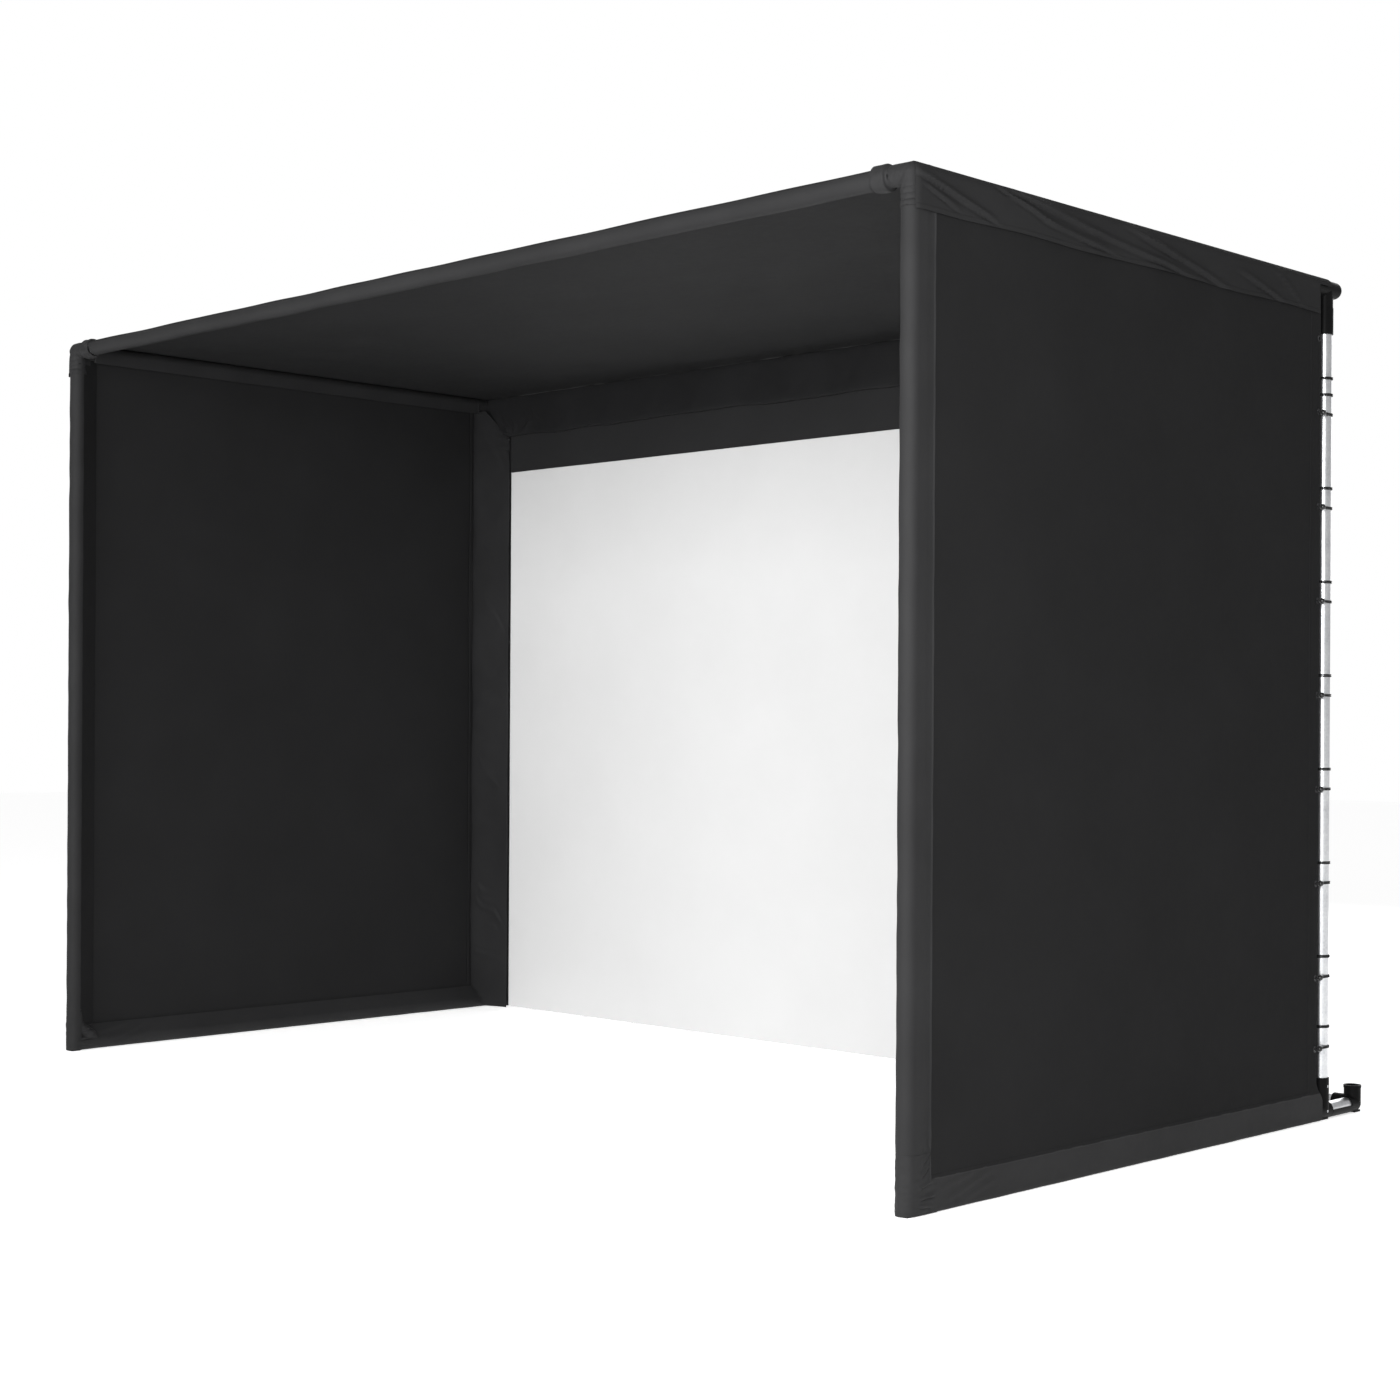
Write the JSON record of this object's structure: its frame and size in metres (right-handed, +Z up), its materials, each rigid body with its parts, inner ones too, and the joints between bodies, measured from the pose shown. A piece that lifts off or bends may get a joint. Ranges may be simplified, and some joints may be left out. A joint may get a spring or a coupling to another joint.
{
  "type": "impact screen hitting bay",
  "caption": "Free-standing box frame of metal tubes with black cloth walls and roof, padded borders and a white impact screen hung at the back on elastic loops; open at the front.",
  "frame": {"origin": "on the floor, in the middle of the footprint", "axes": "+Z up, +Y from the open front towards the impact screen, +X to the right for someone facing the screen"},
  "size_m": [4.0006, 2.2652, 2.6013],
  "materials": {
    "tube": "satin",
    "fitting": "satin",
    "screw": "gloss",
    "cover_cloth": "matte",
    "pad_cloth": "satin",
    "foam": "matte",
    "screen_cloth": "matte",
    "band_cloth": "matte",
    "webbing": "matte",
    "grommet": "gloss",
    "cord": "matte",
    "ball": "gloss"
  },
  "bodies": {
    "frame": {"front_left_post": "tube", "front_right_post": "tube", "rear_left_post": "tube", "rear_right_post": "tube", "top_left_rail": "tube", "top_right_rail": "tube", "floor_left_rail": "tube", "floor_right_rail": "tube", "top_front_bar_left": "tube", "top_front_bar_right": "tube", "top_rear_bar_left": "tube", "top_rear_bar_right": "tube", "floor_rear_bar_left": "tube", "floor_rear_bar_right": "tube", "bar_spigots": "tube", "front_left_top_corner": "fitting", "front_right_top_corner": "fitting", "front_left_foot": "fitting", "front_right_foot": "fitting", "rear_left_top_corner": "fitting", "rear_right_top_corner": "fitting", "rear_left_foot_tee": "fitting", "rear_right_foot_tee": "fitting", "rear_left_floor_corner": "fitting", "rear_right_floor_corner": "fitting", "set_screws": "screw", "left_wall_cover": "cover_cloth", "right_wall_cover": "cover_cloth", "roof_cover": "cover_cloth", "front_left_corner_cover": "cover_cloth", "front_right_corner_cover": "cover_cloth", "front_left_foot_cover": "cover_cloth", "front_right_foot_cover": "cover_cloth", "left_pad_cover": "pad_cloth", "right_pad_cover": "pad_cloth", "top_pad_cover": "pad_cloth", "left_pad_foam": "foam", "right_pad_foam": "foam", "top_pad_foam": "foam", "left_wall_grommets": "grommet", "right_wall_grommets": "grommet", "roof_grommets": "grommet", "left_wall_bungees": "cord", "right_wall_bungees": "cord", "roof_bungees": "cord", "screen_side_bungees": "cord", "screen_top_bungees": "cord", "screen_bottom_bungees": "cord", "cover_bungee_balls": "ball"},
    "screen": {"impact_screen": "screen_cloth", "screen_top_band": "band_cloth", "screen_side_webbing": "webbing", "screen_skirt": "screen_cloth", "screen_grommets": "grommet", "screen_bungee_balls": "ball"},
    "left_eye_bolt": {"left_eye_bolt": "screw"},
    "right_eye_bolt": {"right_eye_bolt": "screw"}
  },
  "joints": [
    {"name": "screen_give", "type": "slide", "parent": "frame", "child": "screen", "axis": [0, 1, 0], "range_m": [0, 0.12], "stiffness_N_per_m": 600, "deforming": ["screen_side_bungees", "screen_top_bungees", "screen_bottom_bungees"]},
    {"name": "left_eye_turn", "type": "hinge", "parent": "frame", "child": "left_eye_bolt", "pos_m": [-1.96, 0.9051, 0.089], "axis": [0, -1, 0], "range_deg": [0, 360]},
    {"name": "right_eye_turn", "type": "hinge", "parent": "frame", "child": "right_eye_bolt", "pos_m": [1.96, 0.9051, 0.089], "axis": [0, -1, 0], "range_deg": [0, 360]}
  ]
}
